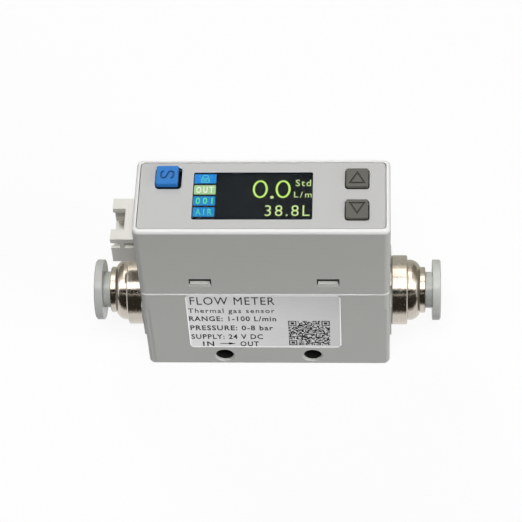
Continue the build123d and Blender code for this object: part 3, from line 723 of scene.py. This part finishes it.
def white_floor():
    """Floor that is white to the camera and in reflections, and keeps the object's soft shadow."""
    form = bmesh.new()
    bmesh.ops.create_grid(form, x_segments=1, y_segments=1, size=4.0)
    mesh = bpy.data.meshes.new("floor")
    form.to_mesh(mesh)
    form.free()
    material = bpy.data.materials.new("floor_white")
    stage = Shading(material)
    seen = stage.seen()
    tone = stage.blend(seen, (floor_grey, floor_grey, floor_grey), (1.0, 1.0, 1.0))
    paper = stage.node("ShaderNodeBsdfDiffuse", {}, {"Color": tone})
    white = stage.node("ShaderNodeEmission", {}, {"Color": (1.0, 1.0, 1.0), "Strength": 1.0})
    mixed = stage.node("ShaderNodeMixShader", {}, {0: seen * floor_glow, 1: paper, 2: white})
    stage.node("ShaderNodeOutputMaterial", {}, {"Surface": mixed})
    mesh.materials.append(material)
    floor = bpy.data.objects.new("floor", mesh)
    bpy.context.scene.collection.objects.link(floor)


def white_room():
    """World that is white to the camera and in reflections, and a plain soft light elsewhere."""
    world = bpy.data.worlds.new("room")
    bpy.context.scene.world = world
    room = Shading(world)
    strength = room.seen() * (1 - room_light) + room_light
    air = room.node("ShaderNodeBackground", {}, {"Color": (1.0, 1.0, 1.0), "Strength": strength})
    room.node("ShaderNodeOutputWorld", {}, {"Surface": air})


def only_reflected(name, form, colour, strength):
    """A glowing card that shows in glossy surfaces alone."""
    mesh = bpy.data.meshes.new(name)
    form.to_mesh(mesh)
    form.free()
    material = bpy.data.materials.new(name)
    shading = Shading(material)
    glow = shading.node("ShaderNodeEmission", {}, {"Color": colour, "Strength": strength})
    shading.node("ShaderNodeOutputMaterial", {}, {"Surface": glow})
    mesh.materials.append(material)
    card = bpy.data.objects.new(name, mesh)
    card.visible_camera = False
    card.visible_diffuse = False
    card.visible_transmission = False
    card.visible_shadow = False
    card.visible_volume_scatter = False
    bpy.context.scene.collection.objects.link(card)


def arc_card(name, start, end, colour, strength, radius=card_radius, reach=None):
    """Card bent round the flow axis between two angles, along its whole length or a part of it."""
    low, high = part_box("inlet_fitting")
    height = (low.z + high.z) / 2
    form = bmesh.new()
    angle = math.radians(start)
    y = -radius * math.cos(angle)
    z = height + radius * math.sin(angle)
    ends = [form.verts.new((x, y, z)) for x in reach or (-card_half_length, card_half_length)]
    line = form.edges.new(ends)
    bmesh.ops.spin(form, geom=ends + [line], cent=(0, 0, height), axis=(-1, 0, 0),
                   angle=math.radians(end - start), steps=card_steps)
    only_reflected(name, form, colour, strength)


def floor_card(name, near, far, colour, strength):
    """Card that lies on the floor between two distances in front of the object."""
    form = bmesh.new()
    bmesh.ops.create_grid(form, x_segments=1, y_segments=1, size=1.0)
    bmesh.ops.scale(form, verts=form.verts, vec=(card_half_length, (far - near) / 2, 1))
    bmesh.ops.translate(form, verts=form.verts, vec=(0, -(far + near) / 2, floor_card_height))
    only_reflected(name, form, colour, strength)


def lamp(name, place, size, irradiance):
    """Square soft lamp that gives one irradiance at the object, unseen in reflections."""
    aim = Vector((0, 0, 0.025))
    light = bpy.data.lights.new(name, "AREA")
    light.shape = "SQUARE"
    light.size = size
    reach = aim - Vector(place)
    light.energy = irradiance * math.pi ** 2 * (reach.length ** 2 + size ** 2 / math.pi)
    holder = bpy.data.objects.new(name, light)
    holder.location = place
    holder.rotation_euler = reach.to_track_quat("-Z", "Y").to_euler()
    holder.visible_glossy = False
    bpy.context.scene.collection.objects.link(holder)


def studio():
    """Floor, room, lamps and the cards that the metal reflects."""
    white_floor()
    white_room()
    for light in lamps:
        lamp(*light)
    for card in arc_cards:
        arc_card(*card)
    for card in side_cards:
        arc_card("left_" + card[0], *card[1:], side_radius, (-card_half_length, -side_start))
        arc_card("right_" + card[0], *card[1:], side_radius, (side_start, card_half_length))
    for card in floor_cards:
        floor_card(*card)


def camera():
    """Camera as the photograph was taken."""
    data = bpy.data.cameras.new("camera")
    data.lens = camera_lens
    data.sensor_width = camera_sensor
    data.clip_start = 0.01
    holder = bpy.data.objects.new("camera", data)
    turn = Matrix.Rotation(math.radians(-camera_turn), 4, "Z")
    tilt = Matrix.Rotation(math.radians(90 - camera_pitch), 4, "X")
    roll = Matrix.Rotation(math.radians(camera_roll), 4, "Z")
    holder.matrix_world = Matrix.Translation(camera_place) @ turn @ tilt @ roll
    bpy.context.scene.collection.objects.link(holder)
    bpy.context.scene.camera = holder


capital_height = capital()
bpy.context.scene.view_settings.view_transform = "Standard"
finishes()
screen_picture()
label_print()
studio()
camera()
